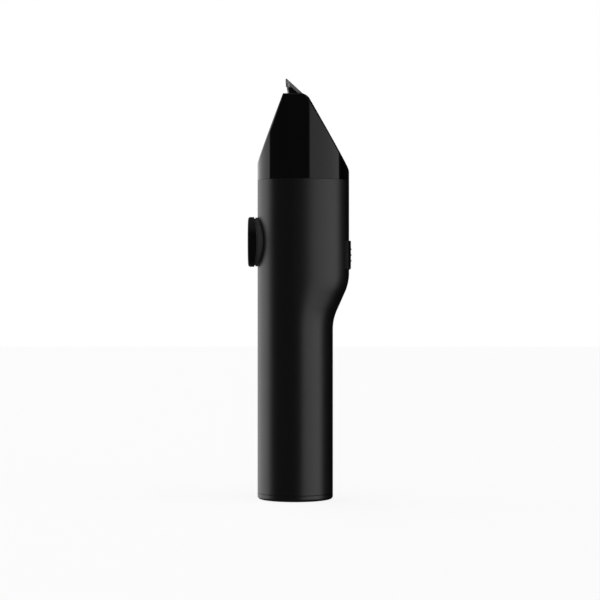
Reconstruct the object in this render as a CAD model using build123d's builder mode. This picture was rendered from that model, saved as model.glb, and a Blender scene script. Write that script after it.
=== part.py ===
"""Cordless hair clipper: a one-piece oval body, a tapered cutter head and the parts inside.

Millimetres. X runs across the clipper, -Y is the front with the power button, +Y is the
back with the lock slider, and +Z points up to the blades. The origin is the middle of the
charging port's mouth, in the plane that the clipper stands on.
"""

import os
from math import atan2, cos, degrees, radians, sin, sqrt, tan

from build123d import *

os.makedirs("parts", exist_ok=True)

# --- driving dimensions: body ---
HALF_WIDTH = 19.0
FRONT_DEPTH = 15.45
HANDLE_BACK = 15.7
UPPER_BACK = 22.4
STEP_LOW = 69.9
STEP_HIGH = 93.2
STEP_SLOPE = 24.0
STEP_SECTIONS = 13
BODY_TOP = 131.4
CAP_HEIGHT = 2.5
CAP_FLOOR = 1.8
CAP_SPIGOT_TOP = 7.0
BASE_ROUNDING = 1.6
WALL = 1.6
SPIGOT_GAP = 0.1
SPIGOT_WALL = 1.2
SPIGOT_DEPTH = 5.0

# --- driving dimensions: head ---
HEAD_TOP = 165.9
FRONT_SLOPE_START = 138.8
FRONT_TOP_EDGE = -5.0
BACK_SLOPE_START = 135.7
BACK_TOP_EDGE = 4.8
BACK_TOP_ROUNDING = 4.5
HEAD_LEDGE = 1.6

# --- driving dimensions: blades, as (Y, Z) places in the side view ---
TIP = (-3.4, 172.0)
BEND = (3.44, 165.75)
BAND_ANGLE = degrees(atan2(BEND[0] - TIP[0], TIP[1] - BEND[1]))
LEAN_ANGLE = 12.1
BLADE_HEEL = 153.5
BLADE_THICKNESS = 1.2
BLADE_HALF_WIDTH = 16.5
BLADE_TAIL_HALF_WIDTH = 15.5
HOOK_RADIUS = 2.2
HOOK_CENTRE = (-4.32, 169.4)
TOOTH_PITCH = 1.5
FIXED_SLOTS = 21
FIXED_SLOT_WIDTH = 0.7
FIXED_SLOT_ROOT = 168.6
MOVING_TIP = (-3.4, 170.2)
MOVING_THICKNESS = 0.45
MOVING_HALF_WIDTH = 15.0
MOVING_SLOTS = 19
MOVING_SLOT_WIDTH = 0.9
MOVING_SLOT_ROOT = 167.6
MOVING_HEEL = 155.0
BLADE_RUNNING_GAP = 0.06
CLEARANCE = 0.1
CUTTER_BASE_TOP = 168.5
CUTTER_BASE_BOTTOM = 152.0
BLADE_STROKE = 1.2

# --- driving dimensions: power button ---
BUTTON_HEIGHT = 106.0
BUTTON_RADIUS = 10.3
BUTTON_FACE = 19.35
BUTTON_REAR = 16.9
SADDLE_RADIUS = 46.7
BUTTON_TRAVEL = 0.5
BUTTON_WALL = 1.6
SKIRT_RADIUS = 8.5
SKIRT_LIP = 0.3
STEM_RADIUS = 2.0
STEM_END = 12.9
COLLAR_RADIUS = 10.0
COLLAR_REAR = 10.4
BOARD_FRONT = 9.4
BOARD_REAR = 8.2

# --- driving dimensions: lock slider ---
SLIDER_LOW = 94.6
SLIDER_HIGH = 106.3
SLIDER_HALF_WIDTH = 8.5
GRIP_HALF_WIDTH = 7.9
SLIDER_SIDE = 21.9
SLIDER_FACE = 23.0
SLIDER_ROUNDING = 0.35
RIDGE_RADIUS = 0.55
RIDGE_RISE = 0.25
RIDGE_PITCH = 2.35
RIDGE_MIDDLE = 100.45
SLIDER_TRAVEL = 4.0
SLIDER_GAP = 0.15
SLIDER_STEM_LOW = 99.1
SLIDER_STEM_HIGH = 102.1
SLIDER_STEM_HALF_WIDTH = 2.4
PLATE_OUTER = 19.6
PLATE_INNER = 18.4

# --- driving dimensions: drive and electrics ---
MOTOR_Y = 1.5
MOTOR_RADIUS = 10.2
MOTOR_HALF_DEPTH = 7.55
MOTOR_LOW = 92.0
MOTOR_HIGH = 124.0
SHAFT_RADIUS = 1.0
SHAFT_TOP = 134.0
CAM_RADIUS = 4.0
CAM_LOW = 130.0
CAM_HIGH = 134.2
CAM_PIN_TOP = 139.8
YOKE_LOW = 140.0
YOKE_HIGH = 144.5
BATTERY_RADIUS = 9.2
BATTERY_Y = 2.6
BATTERY_LOW = 13.6
BATTERY_LENGTH = 65.2
TAB_THICKNESS = 0.2
TAB_HALF_WIDTH = 2.5
TAB_GAP = 0.2
TAB_REACH = 3.0
SPINE_REAR = -6.8
SHELF = 1.4
SCREW_RADIUS = 1.0
SCREW_HEAD_RADIUS = 1.9
SCREW_HEAD_HEIGHT = 1.1
PORT_HALF_WIDTH = 4.47
PORT_HALF_HEIGHT = 1.58
PORT_MOUTH = 0.5
PORT_MOUTH_GAP = 0.2
PORT_END = 7.8


# --- shared shapes ---
def brick(low, high, mode=Mode.ADD):
    """A box between two corners."""
    middle = [(a + b) / 2 for a, b in zip(low, high)]
    size = [b - a for a, b in zip(low, high)]
    with Locations(tuple(middle)):
        Box(*size, mode=mode)


def back_depth(height):
    """How far the body's back stands behind the axis: two arcs with a straight slope between."""
    angle = radians(STEP_SLOPE)
    rise = STEP_HIGH - STEP_LOW
    depth = UPPER_BACK - HANDLE_BACK
    radius = (rise * tan(angle) - depth) / (2 * sin(angle) * tan(angle) - 2 * (1 - cos(angle)))
    arc_rise = radius * sin(angle)
    if height <= STEP_LOW:
        return HANDLE_BACK
    if height >= STEP_HIGH:
        return UPPER_BACK
    if height < STEP_LOW + arc_rise:
        return HANDLE_BACK + radius - sqrt(radius**2 - (height - STEP_LOW) ** 2)
    if height > STEP_HIGH - arc_rise:
        return UPPER_BACK - radius + sqrt(radius**2 - (STEP_HIGH - height) ** 2)
    arc_depth = radius * (1 - cos(angle))
    return HANDLE_BACK + arc_depth + (height - STEP_LOW - arc_rise) * tan(angle)


def oval(height, shrink):
    """The body's section at a height: half an ellipse to the front and half one to the back."""
    with BuildSketch(Plane.XY.offset(height)) as section:
        with BuildLine():
            EllipticalCenterArc((0, 0), HALF_WIDTH - shrink, FRONT_DEPTH - shrink, 180, arc_size=180)
            EllipticalCenterArc((0, 0), HALF_WIDTH - shrink, back_depth(height) - shrink, 0, arc_size=180)
        make_face()
    return section.sketch


def oval_prism(low, high, shrink):
    """The body's section drawn straight up between two heights."""
    with BuildPart() as prism:
        add(oval(low, shrink))
        extrude(amount=high - low, dir=(0, 0, 1))
    return prism.part


def body_form(low, high, shrink):
    """Handle, stepped back and upper body as one solid, drawn in by shrink all round."""
    step = (STEP_HIGH - STEP_LOW) / (STEP_SECTIONS - 1)
    with BuildPart() as form:
        add(oval_prism(low, STEP_LOW, shrink))
        for index in range(STEP_SECTIONS):
            add(oval(STEP_LOW + index * step, shrink))
        loft()
        add(oval_prism(STEP_HIGH, high, shrink))
    return form.part


def side_extrusion(points, half_width):
    """A (Y, Z) outline drawn out to both sides of the middle plane."""
    with BuildPart() as extrusion:
        with BuildSketch(Plane.YZ):
            with BuildLine():
                Polyline(*points, close=True)
            make_face()
        extrude(amount=half_width, both=True)
    return extrusion.part


def head_form(low, shrink):
    """The tapered head above a height, drawn in by shrink: an oval cut by slopes and a flat top."""
    below = low - 2 * SPIGOT_DEPTH
    outline = [
        (-FRONT_DEPTH, below),
        (-FRONT_DEPTH, FRONT_SLOPE_START),
        (FRONT_TOP_EDGE, HEAD_TOP),
        (BACK_TOP_EDGE, HEAD_TOP),
        (UPPER_BACK, BACK_SLOPE_START),
        (UPPER_BACK, below),
    ]
    with BuildPart() as form:
        with BuildSketch(Plane.YZ) as profile:
            with BuildLine():
                Polyline(*outline, close=True)
            make_face()
            corner = profile.vertices().sort_by(Axis.Y)[-2:].sort_by(Axis.X)[-1]
            fillet(corner, radius=BACK_TOP_ROUNDING)
            if shrink:
                offset(amount=-shrink, kind=Kind.INTERSECTION)
        extrude(amount=HALF_WIDTH, both=True)
        add(oval_prism(low, HEAD_TOP + 1, shrink), mode=Mode.INTERSECT)
    return form.part


def screw(shank_radius, head_radius, shank_length, head_height):
    """A pan-head screw that points down, with its head's underside at the origin."""
    with BuildPart() as body:
        with BuildSketch(Plane.XY):
            Circle(head_radius)
        extrude(amount=head_height)
        rim = body.edges().group_by(Axis.Z)[-1]
        fillet(rim, radius=head_height / 3)
        with BuildSketch(Plane.XY):
            Circle(shank_radius)
        extrude(amount=-shank_length)
        with BuildSketch(Plane.XY.offset(head_height)):
            RectangleRounded(head_radius, head_radius / 3, head_radius / 9)
            RectangleRounded(head_radius / 3, head_radius, head_radius / 9)
        extrude(amount=-head_height / 2, mode=Mode.SUBTRACT)
    return body.part


# --- body sleeve: one moulded tube from the base cap to the head ---
sleeve_outside = body_form(CAP_HEIGHT, BODY_TOP, 0)
sleeve_inside = body_form(CAP_HEIGHT, BODY_TOP, WALL)
with BuildPart() as body_sleeve:
    add(sleeve_outside)
    add(sleeve_inside, mode=Mode.SUBTRACT)
    with BuildSketch(Plane.XZ.offset(BOARD_FRONT)):
        with Locations((0, BUTTON_HEIGHT)):
            Circle(BUTTON_RADIUS)
    extrude(amount=BUTTON_FACE - BOARD_FRONT, mode=Mode.SUBTRACT)
    brick(
        (-SLIDER_STEM_HALF_WIDTH - BLADE_RUNNING_GAP, PLATE_INNER, SLIDER_STEM_LOW - CLEARANCE),
        (SLIDER_STEM_HALF_WIDTH + BLADE_RUNNING_GAP, SLIDER_FACE, SLIDER_STEM_HIGH + SLIDER_TRAVEL + CLEARANCE),
        Mode.SUBTRACT,
    )
body_sleeve.part.label = "body_sleeve"
export_step(body_sleeve.part, "parts/body_sleeve.step")

# --- base cap: closes the handle and holds the charging port's mouth ---
cap_spigot = oval_prism(CAP_HEIGHT, CAP_SPIGOT_TOP, WALL + SPIGOT_GAP)
cap_hollow = oval_prism(CAP_FLOOR, CAP_SPIGOT_TOP, WALL + SPIGOT_GAP + SHELF)
with BuildPart() as base_cap:
    add(oval_prism(0, CAP_HEIGHT, 0))
    fillet(base_cap.edges().group_by(Axis.Z)[0], radius=BASE_ROUNDING)
    add(cap_spigot)
    add(cap_hollow, mode=Mode.SUBTRACT)
    with BuildSketch(Plane.XY):
        SlotOverall(2 * (PORT_HALF_WIDTH + PORT_MOUTH_GAP), 2 * (PORT_HALF_HEIGHT + PORT_MOUTH_GAP))
    extrude(amount=CAP_FLOOR, mode=Mode.SUBTRACT)
base_cap.part.label = "base_cap"
export_step(base_cap.part, "parts/base_cap.step")

# --- head shell: gloss taper with a spigot below and a slot on top for the blades ---
SPIGOT_OUTSIDE = WALL + SPIGOT_GAP
SPIGOT_INSIDE = SPIGOT_OUTSIDE + SPIGOT_WALL
SEAL_GROOVE = 0.5
SEAL_LOW = 128.0
SEAL_HIGH = 129.2
SEAL_SQUEEZE = 0.05
SLOT_FRONT = -3.3
SLOT_BACK = 3.95
SLOT_HALF_WIDTH = 16.8
SLOT_FLOOR = 163.4
POST_INSIDE = 13.5
POST_OUTSIDE = 18.0
POST_FRONT = 1.5
POST_BACK = 6.5
SPIGOT_LOW = BODY_TOP - SPIGOT_DEPTH
LEDGE_TOP = BODY_TOP + HEAD_LEDGE
head_solid = head_form(BODY_TOP, 0)
head_cavity = head_form(LEDGE_TOP, WALL)
spigot_ring = oval_prism(SPIGOT_LOW, LEDGE_TOP, SPIGOT_OUTSIDE)
spigot_hollow = oval_prism(SPIGOT_LOW - 1, LEDGE_TOP + 1, SPIGOT_INSIDE)
seal_outside = oval_prism(SEAL_LOW, SEAL_HIGH, SPIGOT_OUTSIDE - SEAL_SQUEEZE)
seal_inside = oval_prism(SEAL_LOW, SEAL_HIGH, SPIGOT_OUTSIDE + SEAL_GROOVE)
groove_outside = oval_prism(SEAL_LOW, SEAL_HIGH, 0)
with BuildPart() as head_posts:
    brick((POST_INSIDE, POST_FRONT, BODY_TOP), (POST_OUTSIDE, POST_BACK, CUTTER_BASE_BOTTOM))
    mirror(about=Plane.YZ)
with BuildPart() as groove_ring:
    add(groove_outside)
    add(seal_inside, mode=Mode.SUBTRACT)
with BuildPart() as head_shell:
    add(head_solid)
    add(head_cavity, mode=Mode.SUBTRACT)
    add(spigot_ring)
    add(spigot_hollow, mode=Mode.SUBTRACT)
    add(head_posts.part)
    add(groove_ring.part, mode=Mode.SUBTRACT)
    brick((-SLOT_HALF_WIDTH, SLOT_FRONT, SLOT_FLOOR), (SLOT_HALF_WIDTH, SLOT_BACK, HEAD_TOP + 1), Mode.SUBTRACT)
head_shell.part.label = "head_shell"
export_step(head_shell.part, "parts/head_shell.step")

# --- head seal: rubber ring in the spigot's groove ---
with BuildPart() as head_seal:
    add(seal_outside)
    add(seal_inside, mode=Mode.SUBTRACT)
head_seal.part.label = "head_seal"
export_step(head_seal.part, "parts/head_seal.step")


# --- blades ---
def blade_line(depth):
    """Tip, bend and heel of the fixed blade, at a depth under its outer face."""
    band, lean = radians(BAND_ANGLE), radians(LEAN_ANGLE)
    middle = (band + lean) / 2
    reach = depth / cos((band - lean) / 2)
    heel_y = BEND[0] + (BEND[1] - BLADE_HEEL) * tan(lean)
    tip = (TIP[0] - depth * cos(band), TIP[1] - depth * sin(band))
    bend = (BEND[0] - reach * cos(middle), BEND[1] - reach * sin(middle))
    heel = (heel_y - depth * cos(lean), BLADE_HEEL - depth * sin(lean))
    return [tip, bend, heel]


def moving_face(height, depth=0.0):
    """Y of the moving blade's front face at a height, or of a face that lies behind it."""
    lean = radians(LEAN_ANGLE)
    return MOVING_TIP[0] + (MOVING_TIP[1] - height) * tan(lean) + depth / cos(lean)


def row_of_slots(count, width, low, high, front, back):
    """Gaps between a blade's teeth."""
    with GridLocations(TOOTH_PITCH, 1, count, 1):
        with Locations((0, (front + back) / 2, (low + high) / 2)):
            Box(width, back - front, high - low, mode=Mode.SUBTRACT)


blade_outline = blade_line(0) + blade_line(BLADE_THICKNESS)[::-1]
blade_body = side_extrusion(blade_outline, BLADE_HALF_WIDTH)
BLADE_SCREW_X = 9.0
BLADE_SCREW_Z = 158.0
BLADE_SCREW_LENGTH = 3.4
BLADE_SCREW_HEAD = 0.9
lean_normal = (0, cos(radians(LEAN_ANGLE)), sin(radians(LEAN_ANGLE)))
screw_y = BEND[0] + (BEND[1] - BLADE_SCREW_Z) * tan(radians(LEAN_ANGLE))
screw_planes = [
    Plane(origin=(side * BLADE_SCREW_X, screw_y, BLADE_SCREW_Z), x_dir=(1, 0, 0), z_dir=lean_normal)
    for side in (-1, 1)
]
with BuildPart() as fixed_blade:
    add(blade_body)
    with BuildSketch(Plane.YZ):
        with Locations(HOOK_CENTRE):
            Circle(HOOK_RADIUS)
    extrude(amount=BLADE_HALF_WIDTH, both=True, mode=Mode.SUBTRACT)
    row_of_slots(FIXED_SLOTS, FIXED_SLOT_WIDTH, FIXED_SLOT_ROOT, TIP[1] + 1, TIP[0] - 2, BEND[0])
    for side in (-1, 1):
        edge, wide = side * BLADE_TAIL_HALF_WIDTH, side * (BLADE_HALF_WIDTH + 1)
        low, high = min(edge, wide), max(edge, wide)
        brick((low, 0, BLADE_HEEL - 1), (high, 9, SLOT_FLOOR), Mode.SUBTRACT)
    for plane in screw_planes:
        with BuildSketch(plane):
            Circle(SCREW_RADIUS)
        extrude(amount=-BLADE_SCREW_LENGTH, mode=Mode.SUBTRACT)
fixed_blade.part.label = "fixed_blade"
export_step(fixed_blade.part, "parts/fixed_blade.step")

moving_outline = [
    MOVING_TIP,
    (moving_face(MOVING_HEEL), MOVING_HEEL),
    (moving_face(MOVING_HEEL, MOVING_THICKNESS), MOVING_HEEL),
    (moving_face(MOVING_TIP[1], MOVING_THICKNESS), MOVING_TIP[1]),
]
moving_body = side_extrusion(moving_outline, MOVING_HALF_WIDTH)
with BuildPart() as moving_blade:
    add(moving_body)
    row_of_slots(MOVING_SLOTS, MOVING_SLOT_WIDTH, MOVING_SLOT_ROOT, MOVING_TIP[1] + 1, -5, 0)
moving_blade.part.label = "moving_blade"
export_step(moving_blade.part, "parts/moving_blade.step")

# --- cutter base: plastic block between the blades that carries the fixed one ---
base_gap = MOVING_THICKNESS + BLADE_RUNNING_GAP
inner_tip, inner_bend, inner_heel = blade_line(BLADE_THICKNESS)
base_back_top = inner_tip[0] + (inner_tip[1] - CUTTER_BASE_TOP) * tan(radians(BAND_ANGLE))
base_outline = [
    (moving_face(CUTTER_BASE_TOP, base_gap), CUTTER_BASE_TOP),
    (base_back_top, CUTTER_BASE_TOP),
    inner_bend,
    inner_heel,
    (inner_heel[0], CUTTER_BASE_BOTTOM),
    (moving_face(CUTTER_BASE_BOTTOM, base_gap), CUTTER_BASE_BOTTOM),
]
base_body = side_extrusion(base_outline, BLADE_TAIL_HALF_WIDTH)
with BuildPart() as cutter_base:
    add(base_body)
    for plane in screw_planes:
        with BuildSketch(plane):
            Circle(SCREW_RADIUS)
        extrude(amount=-BLADE_SCREW_LENGTH, mode=Mode.SUBTRACT)
cutter_base.part.label = "cutter_base"
export_step(cutter_base.part, "parts/cutter_base.step")

blade_screw = screw(SCREW_RADIUS, SCREW_HEAD_RADIUS, BLADE_SCREW_LENGTH, BLADE_SCREW_HEAD)
with BuildPart() as blade_screws:
    for plane in screw_planes:
        add(plane.location * blade_screw)
blade_screws.part.label = "blade_screws"
export_step(blade_screws.part, "parts/blade_screws.step")

# --- blade carrier: arm that holds the moving blade, with the cam's slot at its foot ---
CARRIER_TOP = 164.2
CARRIER_THICKNESS = 1.5
CARRIER_HALF_WIDTH = 13.0
CARRIER_SHOULDER = 154.0
ARM_HALF_WIDTH = 4.5
YOKE_HALF_WIDTH = 5.5
YOKE_HALF_DEPTH = 4.5
YOKE_END_GAP = 0.4
carrier_outline = [
    (moving_face(CARRIER_TOP), CARRIER_TOP),
    (moving_face(YOKE_LOW), YOKE_LOW),
    (MOTOR_Y - YOKE_HALF_DEPTH, YOKE_LOW),
    (MOTOR_Y - YOKE_HALF_DEPTH, YOKE_HIGH),
    (moving_face(CARRIER_TOP) - CARRIER_THICKNESS, CARRIER_TOP),
]
carrier_body = side_extrusion(carrier_outline, CARRIER_HALF_WIDTH)
yoke_slot_length = 2 * (BLADE_STROKE + SHAFT_RADIUS) + YOKE_END_GAP
with BuildPart() as blade_carrier:
    add(carrier_body)
    for side in (-1, 1):
        edge, wide = side * ARM_HALF_WIDTH, side * (CARRIER_HALF_WIDTH + 1)
        low, high = min(edge, wide), max(edge, wide)
        brick((low, -6, YOKE_LOW - 1), (high, 6, CARRIER_SHOULDER), Mode.SUBTRACT)
    brick(
        (-YOKE_HALF_WIDTH, MOTOR_Y - YOKE_HALF_DEPTH, YOKE_LOW),
        (YOKE_HALF_WIDTH, MOTOR_Y + YOKE_HALF_DEPTH, YOKE_HIGH),
    )
    with BuildSketch(Plane.XY.offset(YOKE_LOW)):
        with Locations((0, MOTOR_Y)):
            SlotOverall(yoke_slot_length, 2 * SHAFT_RADIUS + BLADE_RUNNING_GAP, rotation=90)
    extrude(amount=YOKE_HIGH - YOKE_LOW, mode=Mode.SUBTRACT)
    add(moving_blade.part, mode=Mode.SUBTRACT)
blade_carrier.part.label = "blade_carrier"
export_step(blade_carrier.part, "parts/blade_carrier.step")

# --- blade spring: bent leaf on the head's front wall that presses on the carrier ---
SPRING_HALF_WIDTH = 7.0
SPRING_THICKNESS = 0.3
SPRING_FOOT = 145.0
SPRING_BEND = 152.0
front_lean = (FRONT_TOP_EDGE + FRONT_DEPTH) / (HEAD_TOP - FRONT_SLOPE_START)
wall_step = (WALL + SPRING_THICKNESS) * sqrt(1 + front_lean**2)


def front_wall(height):
    """Y of the leaf's face on the inside of the head's front slope."""
    return -FRONT_DEPTH + (height - FRONT_SLOPE_START) * front_lean + wall_step


spring_points = [
    (front_wall(SPRING_FOOT), SPRING_FOOT),
    (front_wall(SPRING_BEND), SPRING_BEND),
    (-4.3, 156.5),
    (-4.1, 160.0),
]
with BuildPart() as blade_spring:
    with BuildSketch(Plane.YZ):
        with BuildLine() as leaf:
            FilletPolyline(*spring_points, radius=1.2)
            offset(amount=SPRING_THICKNESS, side=Side.LEFT)
        make_face()
    extrude(amount=SPRING_HALF_WIDTH, both=True)
blade_spring.part.label = "blade_spring"
export_step(blade_spring.part, "parts/blade_spring.step")

# --- power button: round cap, its collar, and the switch behind it ---
saddle_y = SADDLE_RADIUS - BUTTON_REAR
with BuildPart() as power_button_cap:
    with BuildSketch(Plane.XZ.offset(COLLAR_REAR)):
        with Locations((0, BUTTON_HEIGHT)):
            Circle(BUTTON_RADIUS)
    extrude(amount=BUTTON_FACE - COLLAR_REAR)
    fillet(power_button_cap.edges().filter_by(GeomType.CIRCLE).sort_by(Axis.Y)[0], radius=0.6)
    with Locations((0, saddle_y, BUTTON_HEIGHT)):
        Cylinder(SADDLE_RADIUS, 4 * BUTTON_RADIUS, mode=Mode.SUBTRACT)
    with BuildSketch(Plane.XZ.offset(STEM_END - SKIRT_LIP)):
        with Locations((0, BUTTON_HEIGHT)):
            Circle(SKIRT_RADIUS)
    extrude(amount=BUTTON_FACE - BUTTON_WALL - STEM_END)
    with BuildSketch(Plane.XZ.offset(COLLAR_REAR)):
        with Locations((0, BUTTON_HEIGHT)):
            Circle(SKIRT_RADIUS - 1)
    extrude(amount=BUTTON_FACE - BUTTON_WALL - COLLAR_REAR, mode=Mode.SUBTRACT)
    with BuildSketch(Plane.XZ.offset(STEM_END)):
        with Locations((0, BUTTON_HEIGHT)):
            Circle(STEM_RADIUS)
    extrude(amount=BUTTON_FACE - BUTTON_WALL - STEM_END)
power_button_cap.part.label = "power_button_cap"
export_step(power_button_cap.part, "parts/power_button_cap.step")

COLLAR_BORE = SKIRT_RADIUS + CLEARANCE
COLLAR_SADDLE = SADDLE_RADIUS - BUTTON_TRAVEL - CLEARANCE
with BuildPart() as button_collar:
    with BuildSketch(Plane.XZ.offset(COLLAR_REAR)):
        with Locations((0, BUTTON_HEIGHT)):
            Circle(COLLAR_RADIUS)
            Circle(COLLAR_BORE, mode=Mode.SUBTRACT)
    extrude(amount=BUTTON_FACE - COLLAR_REAR)
    with Locations((0, saddle_y, BUTTON_HEIGHT)):
        Cylinder(COLLAR_SADDLE, 4 * BUTTON_RADIUS, mode=Mode.INTERSECT)
button_collar.part.label = "button_collar"
export_step(button_collar.part, "parts/button_collar.step")

RING_LED_COUNT = 4
RING_LED_WIDTH = 1.2
RING_LED_LENGTH = 1.6
RING_LED_RADIUS = (COLLAR_RADIUS + COLLAR_BORE) / 2
with BuildPart() as ring_leds:
    with BuildSketch(Plane.XZ.offset(BOARD_FRONT)):
        with Locations((0, BUTTON_HEIGHT)):
            with PolarLocations(RING_LED_RADIUS, RING_LED_COUNT, start_angle=45):
                Rectangle(RING_LED_WIDTH, RING_LED_LENGTH)
    extrude(amount=COLLAR_REAR - BOARD_FRONT)
ring_leds.part.label = "ring_leds"
export_step(ring_leds.part, "parts/ring_leds.step")

SWITCH_HALF = 3.0
SWITCH_FRONT = 11.9
PLUNGER_RADIUS = 1.7
PLUNGER_REAR = 10.9
PLUNGER_WELL = 10.1
with BuildPart() as power_switch:
    with BuildSketch(Plane.XZ.offset(BOARD_FRONT)):
        with Locations((0, BUTTON_HEIGHT)):
            RectangleRounded(2 * SWITCH_HALF, 2 * SWITCH_HALF, 0.5)
    extrude(amount=SWITCH_FRONT - BOARD_FRONT)
    with BuildSketch(Plane.XZ.offset(PLUNGER_WELL)):
        with Locations((0, BUTTON_HEIGHT)):
            Circle(PLUNGER_RADIUS + 0.05)
    extrude(amount=SWITCH_FRONT - PLUNGER_WELL, mode=Mode.SUBTRACT)
power_switch.part.label = "power_switch"
export_step(power_switch.part, "parts/power_switch.step")

with BuildPart() as switch_plunger:
    with BuildSketch(Plane.XZ.offset(PLUNGER_REAR)):
        with Locations((0, BUTTON_HEIGHT)):
            Circle(PLUNGER_RADIUS)
    extrude(amount=STEM_END - PLUNGER_REAR)
switch_plunger.part.label = "switch_plunger"
export_step(switch_plunger.part, "parts/switch_plunger.step")

# --- lock slider on the back: ribbed knob, stem through the wall, plate and lever inside ---
stem_middle = (SLIDER_STEM_LOW + SLIDER_STEM_HIGH) / 2
skin_clearance = oval_prism(SLIDER_LOW - 1, SLIDER_HIGH + 1, -SLIDER_GAP)
SLIDER_SCREW_RADIUS = 0.8
SLIDER_SCREW_TIP = 21.6
with BuildPart() as lock_slider:
    brick((-SLIDER_HALF_WIDTH, PLATE_OUTER, SLIDER_LOW), (SLIDER_HALF_WIDTH, SLIDER_SIDE, SLIDER_HIGH))
    brick((-GRIP_HALF_WIDTH, PLATE_OUTER, SLIDER_LOW), (GRIP_HALF_WIDTH, SLIDER_FACE, SLIDER_HIGH))
    face_rim = lock_slider.faces().sort_by(Axis.Y)[-1].edges()
    fillet(face_rim, radius=SLIDER_ROUNDING)
    for index in (-1, 0, 1):
        ridge_place = (0, SLIDER_FACE + RIDGE_RISE - RIDGE_RADIUS, RIDGE_MIDDLE + index * RIDGE_PITCH)
        with Locations(Location(ridge_place, (0, 90, 0))):
            Cylinder(RIDGE_RADIUS, 2 * (GRIP_HALF_WIDTH - 2 * SLIDER_ROUNDING))
    add(skin_clearance, mode=Mode.SUBTRACT)
    brick(
        (-SLIDER_STEM_HALF_WIDTH, PLATE_OUTER, SLIDER_STEM_LOW),
        (SLIDER_STEM_HALF_WIDTH, SLIDER_FACE - SLIDER_ROUNDING, SLIDER_STEM_HIGH),
    )
    with BuildSketch(Plane.XZ.offset(-PLATE_OUTER)):
        with Locations((0, stem_middle)):
            Circle(SLIDER_SCREW_RADIUS)
    extrude(amount=PLATE_OUTER - SLIDER_SCREW_TIP, mode=Mode.SUBTRACT)
lock_slider.part.label = "lock_slider"
export_step(lock_slider.part, "parts/lock_slider.step")

PLATE_HALF_WIDTH = 5.5
PLATE_LOW = 95.6
PLATE_HIGH = 105.6
with BuildPart() as slider_plate:
    brick((-PLATE_HALF_WIDTH, PLATE_INNER, PLATE_LOW), (PLATE_HALF_WIDTH, PLATE_OUTER, PLATE_HIGH))
    with BuildSketch(Plane.XZ.offset(-PLATE_INNER)):
        with Locations((0, stem_middle)):
            Circle(SLIDER_SCREW_RADIUS)
    extrude(amount=PLATE_INNER - PLATE_OUTER, mode=Mode.SUBTRACT)
slider_plate.part.label = "slider_plate"
export_step(slider_plate.part, "parts/slider_plate.step")

slider_screw_length = SLIDER_SCREW_TIP - PLATE_INNER
screw_seat = Plane(origin=(0, PLATE_INNER, stem_middle), x_dir=(1, 0, 0), z_dir=(0, -1, 0))
small_screw = screw(SLIDER_SCREW_RADIUS, 1.5, slider_screw_length, 0.9)
with BuildPart() as slider_screw:
    add(screw_seat.location * small_screw)
slider_screw.part.label = "slider_screw"
export_step(slider_screw.part, "parts/slider_screw.step")

LEVER_HALF_WIDTH = 0.7
LEVER_LOW = 103.4
LEVER_HIGH = 104.8
LEVER_TIP = 16.2
with BuildPart() as lock_lever:
    brick((-LEVER_HALF_WIDTH, LEVER_TIP, LEVER_LOW), (LEVER_HALF_WIDTH, PLATE_INNER, LEVER_HIGH))
lock_lever.part.label = "lock_lever"
export_step(lock_lever.part, "parts/lock_lever.step")

LOCK_SWITCH_REAR = 17.2
LOCK_SWITCH_FRONT = 14.6
LOCK_SWITCH_LOW = 100.5
LOCK_SWITCH_HIGH = 111.0
LOCK_SWITCH_HALF_WIDTH = 4.3
with BuildPart() as lock_switch:
    brick(
        (-LOCK_SWITCH_HALF_WIDTH, LOCK_SWITCH_FRONT, LOCK_SWITCH_LOW),
        (LOCK_SWITCH_HALF_WIDTH, LOCK_SWITCH_REAR, LOCK_SWITCH_HIGH),
    )
    brick(
        (-LEVER_HALF_WIDTH - CLEARANCE, LEVER_TIP - 2 * CLEARANCE, LEVER_LOW - CLEARANCE),
        (LEVER_HALF_WIDTH + CLEARANCE, LOCK_SWITCH_REAR, LEVER_HIGH + SLIDER_TRAVEL + CLEARANCE),
        Mode.SUBTRACT,
    )
lock_switch.part.label = "lock_switch"
export_step(lock_switch.part, "parts/lock_switch.step")

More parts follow.
